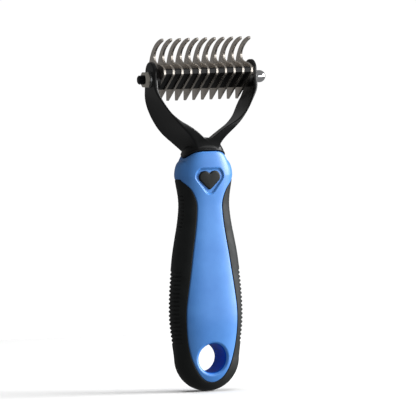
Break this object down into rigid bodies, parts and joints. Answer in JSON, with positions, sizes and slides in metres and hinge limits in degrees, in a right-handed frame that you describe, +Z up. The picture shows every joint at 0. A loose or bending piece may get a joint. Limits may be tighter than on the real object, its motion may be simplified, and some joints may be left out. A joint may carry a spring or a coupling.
{
  "type": "dematting comb",
  "caption": "Hand comb for cutting fur mats: hooked steel blades on a through rod between the arms of a forked yoke, on a rubber-sided grip with a hang hole.",
  "frame": {"origin": "centre of the hang hole, on the middle plane of the grip", "axes": "+Z up the handle to the blades, +X along the rod towards the domed cap, the hooks point to -Y"},
  "size_m": [0.0744, 0.0222, 0.1901],
  "materials": {
    "grip_blue": "satin moulded polypropylene",
    "grip_rubber": "matt ribbed thermoplastic rubber",
    "heart_black": "satin thermoplastic rubber",
    "yoke_black": "satin moulded nylon",
    "rod_black": "black oxide steel",
    "cap_chrome": "polished chrome plate",
    "washer_steel": "zinc-plated steel",
    "nut_steel": "nickel-plated steel",
    "blade_steel": "ground stainless steel",
    "spacer_black": "satin moulded nylon"
  },
  "bodies": {
    "handle": {"grip_core": "grip_blue", "side_grip": "grip_rubber", "heart_inlay": "heart_black", "yoke": "yoke_black"},
    "cartridge": {"blade_01": "blade_steel", "blade_02": "blade_steel", "blade_03": "blade_steel", "blade_04": "blade_steel", "blade_05": "blade_steel", "blade_06": "blade_steel", "blade_07": "blade_steel", "blade_08": "blade_steel", "blade_09": "blade_steel", "blade_10": "blade_steel", "blade_11": "blade_steel", "spacer_01": "spacer_black", "spacer_02": "spacer_black", "spacer_03": "spacer_black", "spacer_04": "spacer_black", "spacer_05": "spacer_black", "spacer_06": "spacer_black", "spacer_07": "spacer_black", "spacer_08": "spacer_black", "spacer_09": "spacer_black", "spacer_10": "spacer_black", "spacer_11": "spacer_black", "spacer_12": "spacer_black"},
    "rod": {"axle_rod": "rod_black", "dome_cap": "cap_chrome"},
    "washer": {"lock_washer": "washer_steel"},
    "nut": {"hex_nut": "nut_steel"}
  },
  "joints": [
    {"name": "cartridge_swing", "type": "hinge", "parent": "handle", "child": "cartridge", "pos_m": [0, 0, 0.1502], "axis": [1, 0, 0], "range_deg": [-4, 120]},
    {"name": "rod_pull", "type": "slide", "parent": "handle", "child": "rod", "axis": [1, 0, 0], "range_m": [0, 0.068]},
    {"name": "washer_slide", "type": "slide", "parent": "handle", "child": "washer", "axis": [-1, 0, 0], "range_m": [0, 0.0032]},
    {"name": "nut_turn", "type": "hinge", "parent": "washer", "child": "nut", "pos_m": [-0.03285, 0, 0.1502], "axis": [-1, 0, 0], "continuous": true}
  ]
}
